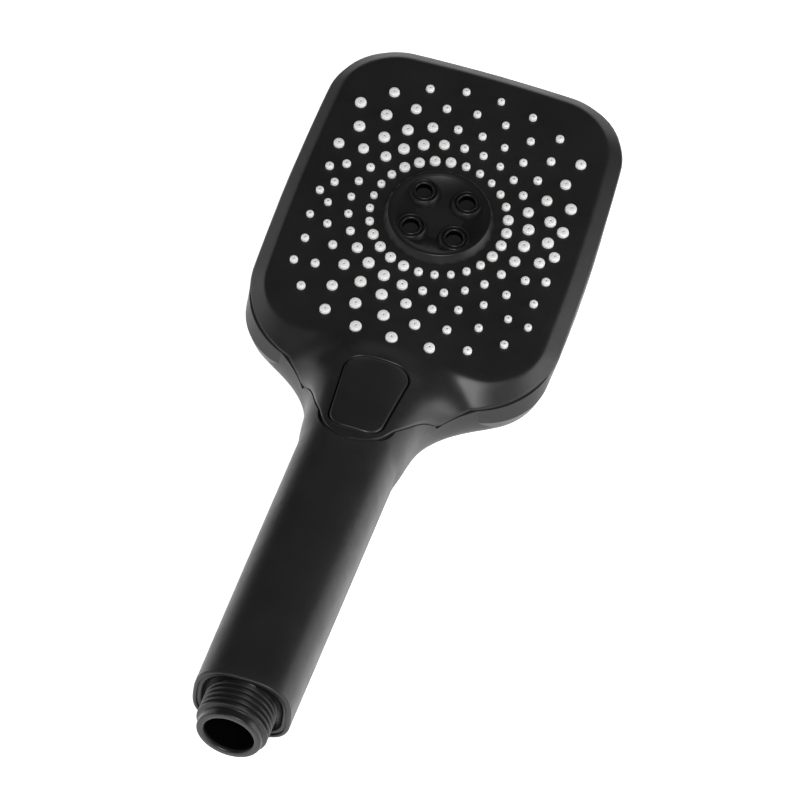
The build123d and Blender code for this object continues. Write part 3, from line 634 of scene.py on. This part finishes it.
def button_loop(inset):
    """Outline of the button, moved in by an inset, as points x and row y."""
    half = BUTTON_LENGTH / 2
    near = BUTTON_WIDE / 2
    far = BUTTON_NARROW / 2
    lean = math.atan2(near - far, BUTTON_LENGTH)
    centres = []
    for sign, width in ((1, near), (-1, far)):
        y = sign * (half - BUTTON_CORNER)
        edge = width - sign * BUTTON_CORNER * math.tan(lean)
        x = edge - BUTTON_CORNER / math.cos(lean)
        centres.append((x, y))
    (near_x, near_y), (far_x, far_y) = centres
    radius = BUTTON_CORNER - inset
    arcs = (
        (near_x, near_y, -lean, math.pi / 2),
        (-near_x, near_y, math.pi / 2, math.pi + lean),
        (-far_x, far_y, math.pi + lean, 3 * math.pi / 2),
        (far_x, far_y, 3 * math.pi / 2, 2 * math.pi - lean),
    )
    loop = []
    for index, (x, y, start, end) in enumerate(arcs):
        for step in range(ARC_STEPS + 1):
            angle = lerp(start, end, step / ARC_STEPS)
            loop.append((x + radius * math.cos(angle), BUTTON_Y + y + radius * math.sin(angle)))
        next_x, next_y, next_start, _ = arcs[(index + 1) % 4]
        last = loop[-1]
        goal = (next_x + radius * math.cos(next_start), BUTTON_Y + next_y + radius * math.sin(next_start))
        for step in range(1, SIDE_STEPS):
            loop.append(tuple(lerp(last[k], goal[k], step / SIDE_STEPS) for k in range(2)))
    return loop


def make_button():
    """The button's cap: a crowned top flush with the neck, a rounded rim and a skirt."""
    rings = []
    for z_drop in (3.6, 2.0):
        rings.append([(x, y, cover_height(x, y) - z_drop) for x, y in button_loop(0)])
    for step in range(7):
        inset = BUTTON_EDGE * (1 - math.cos(math.pi / 2 * step / 6))
        drop = drop_off(inset, BUTTON_EDGE)
        rings.append([(x, y, cover_height(x, y) - drop) for x, y in button_loop(inset)])
    inner = button_loop(BUTTON_EDGE)
    for step in range(1, 15):
        keep = 1 - step / 15
        ring = []
        for x, y in inner:
            px, py = x * keep, BUTTON_Y + (y - BUTTON_Y) * keep
            ring.append((px, py, cover_height(px, py)))
        rings.append(ring)
    middle = (0.0, BUTTON_Y, cover_height(0.0, BUTTON_Y))
    piece = closed_solid("button_skin", rings, len(inner), middle)
    return finish_piece(piece, "button_group", cover_black, 60)


def make_button_gap_shade():
    """A near-black ring inside the cover's opening, just outside the button's skirt: painted shadow in
    the gap round the button.
    """
    count = len(button_loop(0))
    points = []
    faces = []
    profile = ((-0.06, -0.75), (-BUTTON_GAP - 0.3, -0.75), (-BUTTON_GAP - 0.3, -1.5), (-0.06, -1.5))
    for inset, rise in profile:
        points += [(x, y, cover_height(x, y) + rise) for x, y in button_loop(inset)]
    for index in range(len(profile)):
        nxt = (index + 1) % len(profile)
        ring_faces(index * count, nxt * count, count, faces)
    return mesh_piece("button_gap_shade", points, faces, "shower", shade_black, False)


# ---- cover ----------------------------------------------------------------------------------
COVER_EDGE = 0.4
COVER_RINGS = 190
COVER_THICKNESS = 1.9
SEAM = 0.25


def nozzle_wells(nozzles):
    """One mesh of closed cylinders, a little wider than the nozzles, to cut the face with."""
    count = 28
    points = []
    faces = []
    for x, y, radius, rise in nozzles:
        wide = radius + NOZZLE_CLEARANCE
        low, high = lathe([(wide, -PLATE - 2), (wide, rise + 2)], x, y, count)
        base = len(points)
        points += low + high
        ring_faces(base + count, base, count, faces)
        faces.append(tuple(reversed(range(base, base + count))))
        faces.append(tuple(range(base + count, base + 2 * count)))
    mesh = bpy.data.meshes.new("wells")
    mesh.from_pydata([Vector(p) * MM for p in points], [], faces)
    face_outward(mesh)
    wells = bpy.data.objects.new("wells", mesh)
    bpy.context.scene.collection.objects.link(wells)
    return wells


def cover_bottom(x, y):
    """How low the cover's outer wall reaches: to the joint all round the head."""
    low = cover_height(x, y) - COVER_EDGE - 1.3
    y = y - FACE_Y
    on_face = (y - RIM_DEPTH * math.sin(FACE_TILT)) / math.cos(FACE_TILT)
    if rim_distance(x, on_face) < -1.0:
        return low
    joint = FACE_Z + y * math.tan(FACE_TILT) - RIM_DEPTH / math.cos(FACE_TILT)
    return min(low, joint + SEAM)


def make_cover(nozzles):
    """The cover's skin: the spray face, its bevel and the tongue round the button."""
    reaches = [cover_reach(2 * math.pi * k / RAYS) - 0.1 for k in range(RAYS)]

    def place(k, distance):
        angle = 2 * math.pi * k / RAYS
        return (
            COVER_CENTRE.x + math.sin(angle) * distance,
            FACE_Y + COVER_CENTRE.y + math.cos(angle) * distance,
        )

    rings = []
    for ring in range(1, COVER_RINGS + 1):
        share = ring / COVER_RINGS
        row = []
        for k, reach in enumerate(reaches):
            x, y = place(k, reach * share)
            row.append((x, y, cover_height(x, y) - drop_off(reach * (1 - share), COVER_EDGE)))
        rings.append(row)
    edge = [place(k, reach) for k, reach in enumerate(reaches)]
    rings.append([(x, y, cover_bottom(x, y)) for x, y in edge])
    for share in (0.97, 0.8, 0.6, 0.4, 0.2, 0.02):
        row = []
        for k, reach in enumerate(reaches):
            x, y = place(k, reach * share)
            row.append((x, y, cover_height(x, y) - COVER_THICKNESS))
        rings.append(row)
    skin = closed_solid("cover_skin", rings, RAYS)
    hole = []
    for wider, rise in ((0.0, -6.0), (0.0, -0.5), (0.08, -0.25), (0.28, -0.04), (0.5, 0.02), (0.6, 4.0)):
        loop = button_loop(-BUTTON_GAP - wider)
        hole.append([(x, y, cover_height(x, y) + rise) for x, y in loop])
    cut_away(skin, closed_solid("button_hole", hole, len(hole[0])))
    cut_away(skin, nozzle_wells(nozzles))
    return finish_piece(skin, "shower", cover_black)


# ---- threaded inlet -------------------------------------------------------------------------
INLET_TILT = math.radians(3.73)
INLET_Y = FACE_Y - 207.35
INLET_Z = 12.2
THREAD_R = 10.4775
THREAD_PITCH = 1.814
THREAD_DEPTH = 1.2
THREAD_LEAD = 1.9
THREAD_END = 12.4
LEAD_R = 9.4
RUNOUT_R = 9.0
INLET_BORE_R = 7.25
STUB_END = 20.0
ROUND = 96


def inlet_point(radius, angle, s):
    """A point round the inlet's axis, s into the handle from the end of the thread."""
    across = radius * math.cos(angle)
    lift = radius * math.sin(angle)
    return (
        across,
        INLET_Y + s * math.cos(INLET_TILT) - lift * math.sin(INLET_TILT),
        INLET_Z + s * math.sin(INLET_TILT) + lift * math.cos(INLET_TILT),
    )


def thread_radius(s, angle):
    """Radius of the stub's outside: a plain lead, then rounded crests that wind round it."""
    if s < THREAD_LEAD - 0.1:
        return LEAD_R
    turns = (s - THREAD_LEAD) / THREAD_PITCH - angle / (2 * math.pi)
    wave = 0.5 + 0.5 * math.cos(2 * math.pi * (turns - 0.5))
    crest = smoothstep(0.08, 0.95, wave) ** 1.3
    start = smoothstep(THREAD_LEAD - 0.1, THREAD_LEAD + 0.9, s)
    fade = 1 - smoothstep(THREAD_END - 0.9, THREAD_END + 0.3, s)
    root = THREAD_R - THREAD_DEPTH
    cut = root + THREAD_DEPTH * crest
    return lerp(LEAD_R, cut, start) if fade >= 1 else lerp(RUNOUT_R, cut, fade)


def make_stub():
    """The threaded stub: rounded end ring, plain lead, helical thread, and its bore."""
    stations = [0.45 + 0.13 * k for k in range(int((THREAD_END + 0.6) / 0.13))] + [15.0, STUB_END]
    rings = []
    bore = ((STUB_END, 6.9), (16.1, 6.9), (16.0, INLET_BORE_R), (1.2, INLET_BORE_R))
    for s_at, radius in bore:
        rings.append([inlet_point(radius, 2 * math.pi * k / ROUND, s_at) for k in range(ROUND)])
    lip = ((0.55, INLET_BORE_R + 0.02), (0.2, INLET_BORE_R + 0.16), (0.03, INLET_BORE_R + 0.42))
    edge = ((0.0, INLET_BORE_R + 0.7), (0.0, LEAD_R - 0.6))
    edge += ((0.06, LEAD_R - 0.3), (0.2, LEAD_R - 0.1))
    for s_at, radius in lip + edge:
        rings.append([inlet_point(radius, 2 * math.pi * k / ROUND, s_at) for k in range(ROUND)])
    for s_at in stations:
        ring = []
        for k in range(ROUND):
            angle = 2 * math.pi * k / ROUND
            ring.append(inlet_point(thread_radius(s_at, angle), angle, s_at))
        rings.append(ring)
    points = [point for ring in rings for point in ring]
    faces = []
    for index in range(len(rings) - 1):
        ring_faces(index * ROUND, (index + 1) * ROUND, ROUND, faces)
    ring_faces((len(rings) - 1) * ROUND, 0, ROUND, faces)
    piece = mesh_piece("threaded_inlet", points, faces, "shower", stub_black)
    # The bore's faces get the near-black material: painted shade inside the inlet.
    piece.data.materials.append(shade_black)
    for polygon in piece.data.polygons[:(len(bore) - 1) * ROUND]:
        polygon.material_index = 1
    piece.data.set_sharp_from_angle(angle=math.radians(60))
    return piece


# ---- end of the handle ----------------------------------------------------------------------
SECTION_COUNT = 120


def handle_section(s_at, inset):
    """The handle's section, moved in, where the plane across the inlet's axis at s meets it."""
    ring = []
    for k in range(SECTION_COUNT):
        angle = 2 * math.pi * k / SECTION_COUNT
        y = INLET_Y + s_at
        for _ in range(3):
            _, half_width, top, bottom, widest, power, root, low_power = station_at(y - FACE_Y)
            across = math.cos(angle)
            width = half_width - inset
            if math.sin(angle) >= 0:
                share = max(0.0, 1 - abs(across) ** power) ** root
                z = widest + (top - inset - widest) * share
            else:
                share = max(0.0, 1 - abs(across) ** low_power) ** (1 / low_power)
                z = widest - (widest - bottom - inset) * share
            y = INLET_Y + (s_at - (z - INLET_Z) * math.sin(INLET_TILT)) / math.cos(INLET_TILT)
        ring.append((width * across, y, z))
    return ring


def make_section_solid(name, profile, material, seam_shade_strips):
    """A ring that follows the handle's section; profile is a closed loop of (s, inset).

    The strips of its sides that line a seam are named by where they start in the profile, and get the
    near-black material: painted shade in the seam.
    """
    rings = [handle_section(s_at, inset) for s_at, inset in profile]
    points = [point for ring in rings for point in ring]
    faces = []
    for index in range(len(rings)):
        nxt = (index + 1) % len(rings)
        ring_faces(index * SECTION_COUNT, nxt * SECTION_COUNT, SECTION_COUNT, faces)
    piece = mesh_piece(name, points, faces, "shower", material)
    piece.data.set_sharp_from_angle(angle=math.radians(50))
    # Near-black on the strips that line the seam: painted shade.
    piece.data.materials.append(shade_black)
    for strip in seam_shade_strips:
        for polygon in piece.data.polygons[strip * SECTION_COUNT:(strip + 1) * SECTION_COUNT]:
            polygon.material_index = 1
    return piece


def make_handle_end():
    """The rounded lip of the handle's end, and the collar, a cup with the stub in its floor."""
    lip = [(12.35, 0.0), (12.0, 0.02), (11.72, 0.12), (11.58, 0.3), (11.52, 0.5)]
    lip += [(11.52, 0.8), (11.6, 1.0), (11.8, 1.12), (12.1, 1.15), (12.35, 1.15)]
    # Strips 7 and 8, on the lip's inner side along the seam, are painted near-black as shade.
    make_section_solid("handle_lip", lip, shell_black, (7, 8))
    cup = [(15.6, 2.5), (12.2, 2.5), (12.12, 1.5), (11.98, 1.55), (11.92, 1.75), (11.98, 2.05)]
    cup += [(12.2, 2.35), (12.7, 2.6), (13.3, 2.9), (13.9, 3.5), (14.2, 4.3), (14.3, 6.0)]
    cup += [(15.6, 6.0)]
    # Strips 0 to 2, on the collar's side of the seam, are painted near-black as shade.
    collar = make_section_solid("collar_cup", cup, stub_black, (0, 1, 2))
    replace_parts(collar, "end_collar")


# ---- central disc and jets ------------------------------------------------------------------
DISC_R = 18.4
DISC_SIDES = 160
DISC_RIM_R = 16.1
DISC_RIM_Z = 2.8
DISC_DISH = 3.2
JET_OFFSET = 7.3
JET_BORE_R = 2.6
JET_HOLE_R = 3.0
JET_SIDES = 72
JET_BASE_Z = -1.6
JET_SHADE_STRIP = 6          # from this strip of its profile on, a jet's bore is near-black: painted shade
JET_TIP_Z = 2.3


def dish_height(radius):
    """Height of the disc's dished top over the face."""
    return DISC_RIM_Z - 0.1 - DISC_DISH * (1 - (radius / (DISC_RIM_R - 0.5)) ** 2.8)


def lathe_piece(name, profiles, material, sharp, count=96):
    """One piece of closed turned shapes; profiles are (x, y, profile) with (radius, z) points."""
    points = []
    faces = []
    for x, y, profile in profiles:
        base = len(points)
        for ring in lathe(profile, x, y, count):
            points += ring
        for index in range(len(profile)):
            nxt = (index + 1) % len(profile)
            ring_faces(base + nxt * count, base + index * count, count, faces)
    piece = mesh_piece(name, points, faces, "shower", material)
    piece.data.set_sharp_from_angle(angle=math.radians(sharp))
    return piece


def make_disc():
    """The dished disc with its bevelled ring, four conical bosses and the four jets in them."""
    profile = [(DISC_R, -2.0), (DISC_R, 0.05), (DISC_R - 0.1, 0.22)]
    profile += [(DISC_RIM_R + 0.75, DISC_RIM_Z - 0.25), (DISC_RIM_R + 0.6, DISC_RIM_Z - 0.08)]
    profile += [(DISC_RIM_R + 0.4, DISC_RIM_Z), (DISC_RIM_R, DISC_RIM_Z)]
    profile.append((DISC_RIM_R - 0.25, DISC_RIM_Z - 0.1))
    for step in range(1, 40):
        radius = (DISC_RIM_R - 0.5) * (1 - step / 40)
        profile.append((radius, dish_height(radius)))
    disc = closed_solid("disc_skin", lathe(profile, 0, 0, DISC_SIDES), DISC_SIDES)
    boss = [(6.1, JET_BASE_Z), (6.0, -0.5), (4.8, JET_TIP_Z - 0.2), (4.65, JET_TIP_Z - 0.05)]
    boss += [(4.5, JET_TIP_Z), (4.35, JET_TIP_Z), (4.2, JET_TIP_Z - 0.1)]
    boss += [(4.12, JET_TIP_Z - 0.4), (4.1, JET_BASE_Z)]
    jet = [(3.6, JET_BASE_Z), (3.6, JET_TIP_Z - 0.5), (3.55, JET_TIP_Z - 0.22)]
    jet += [(3.42, JET_TIP_Z - 0.06), (3.2, JET_TIP_Z), (3.0, JET_TIP_Z - 0.06)]
    jet += [(2.8, JET_TIP_Z - 0.3), (2.72, JET_TIP_Z - 0.75)]
    jet += [(JET_BORE_R, JET_TIP_Z - 1.3), (2.5, JET_BASE_Z)]
    floor_disc = [(3.2, -1.5), (0.05, -1.5), (0.05, -1.9), (3.2, -1.9)]
    places = [(x, y) for x in (JET_OFFSET, -JET_OFFSET) for y in (JET_OFFSET, -JET_OFFSET)]
    for x, y in places:
        hole = lathe([(JET_HOLE_R, -3.0), (JET_HOLE_R, 4.0)], x, y, 48)
        cut_away(disc, closed_solid("jet_hole", hole, 48))
    finish_piece(disc, "shower", jet_black, 40)
    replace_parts(disc, "centre_disc")
    bosses = [(x, y, boss) for x, y in places]
    lathe_piece("jet_bosses", bosses, jet_black, 40, JET_SIDES)
    jets = [(x, y, jet) for x, y in places]
    lips = lathe_piece("jet_lips", jets, jet_black, 40, JET_SIDES)
    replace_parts(lips, "jet_nozzles")
    # The bore's inner wall gets the near-black material: painted shade inside each jet.
    lips.data.materials.append(shade_black)
    for index, polygon in enumerate(lips.data.polygons):
        if index // JET_SIDES % len(jet) >= JET_SHADE_STRIP:
            polygon.material_index = 1
    # Near-black discs that close the bores: painted shade at their bottoms.
    floors = [(x, y, floor_disc) for x, y in places]
    lathe_piece("jet_shadows", floors, shade_black, 40, 48)


# ---- camera ---------------------------------------------------------------------------------
camera_data = bpy.data.cameras.new("camera")
camera = bpy.data.objects.new("camera", camera_data)
bpy.context.scene.collection.objects.link(camera)
right = Vector((0.9532, 0.2726, 0.1307)).normalized()
forward = Vector((-0.1087, 0.7124, -0.6933)).normalized()
right = (right - forward * right.dot(forward)).normalized()
up = right.cross(forward)
turn = Matrix((right, up, -forward)).transposed()
camera.matrix_world = Matrix.Translation(Vector((97.46, -578.56, 584.59)) * MM) @ turn.to_4x4()
camera_data.sensor_width = 36.0
camera_data.lens = 118.63
camera_data.clip_start = 0.05
camera_data.clip_end = 20.0
bpy.context.scene.camera = camera
bpy.context.scene.view_settings.view_transform = "Standard"

# ---- floor and light ------------------------------------------------------------------------
floor_mesh = bpy.data.meshes.new("floor")
FLOOR = 4.0
floor_mesh.from_pydata(
    [(-FLOOR, -FLOOR, 0), (FLOOR, -FLOOR, 0), (FLOOR, FLOOR, 0), (-FLOOR, FLOOR, 0)],
    [],
    [(0, 1, 2, 3)],
)
floor = bpy.data.objects.new("floor", floor_mesh)
floor.location.z = -0.0009
bpy.context.scene.collection.objects.link(floor)
floor_material, _, _, floor_shader = new_material("floor_white")
floor_shader.inputs["Base Color"].default_value = (0.9, 0.9, 0.9, 1)
floor_shader.inputs["Roughness"].default_value = 0.8
floor_shader.inputs["Emission Color"].default_value = (1, 1, 1, 1)
floor_shader.inputs["Emission Strength"].default_value = 0.9
floor_mesh.materials.append(floor_material)

world = bpy.data.worlds.new("studio")
bpy.context.scene.world = world
world.use_nodes = True
background = world.node_tree.nodes["Background"]
background.inputs["Color"].default_value = (1, 1, 1, 1)
background.inputs["Strength"].default_value = 0.008


def softbox(name, place, size, power, target=(0, 0, 20)):
    """A large soft area light that looks at the object."""
    data = bpy.data.lights.new(name, "AREA")
    data.shape = "RECTANGLE"
    data.size = size[0] * MM
    data.size_y = size[1] * MM
    data.energy = power
    light = bpy.data.objects.new(name, data)
    light.location = Vector(place) * MM
    aim = (Vector(target) - Vector(place)).normalized()
    light.rotation_mode = "QUATERNION"
    light.rotation_quaternion = aim.to_track_quat("-Z", "Y")
    bpy.context.scene.collection.objects.link(light)
    return light


softbox("key_box", (250, -900, 900), (500, 500), 12.5)
softbox("right_box", (900, 60, 260), (900, 420), 4.5)
softbox("left_box", (-900, 60, 240), (900, 380), 1.5)
softbox("front_box", (60, -1000, 160), (900, 260), 0.3)
softbox("back_box", (0, 1000, 300), (900, 300), 1.0)

# ---- pieces ---------------------------------------------------------------------------------
nozzles = nozzle_layout()
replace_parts(make_cover(nozzles), "front_cover")
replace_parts(make_nozzles(nozzles), "nozzle_mat")
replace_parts(make_button(), "button")
make_button_gap_shade()
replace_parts(make_stub(), "inlet_connector")
make_handle_end()
make_disc()
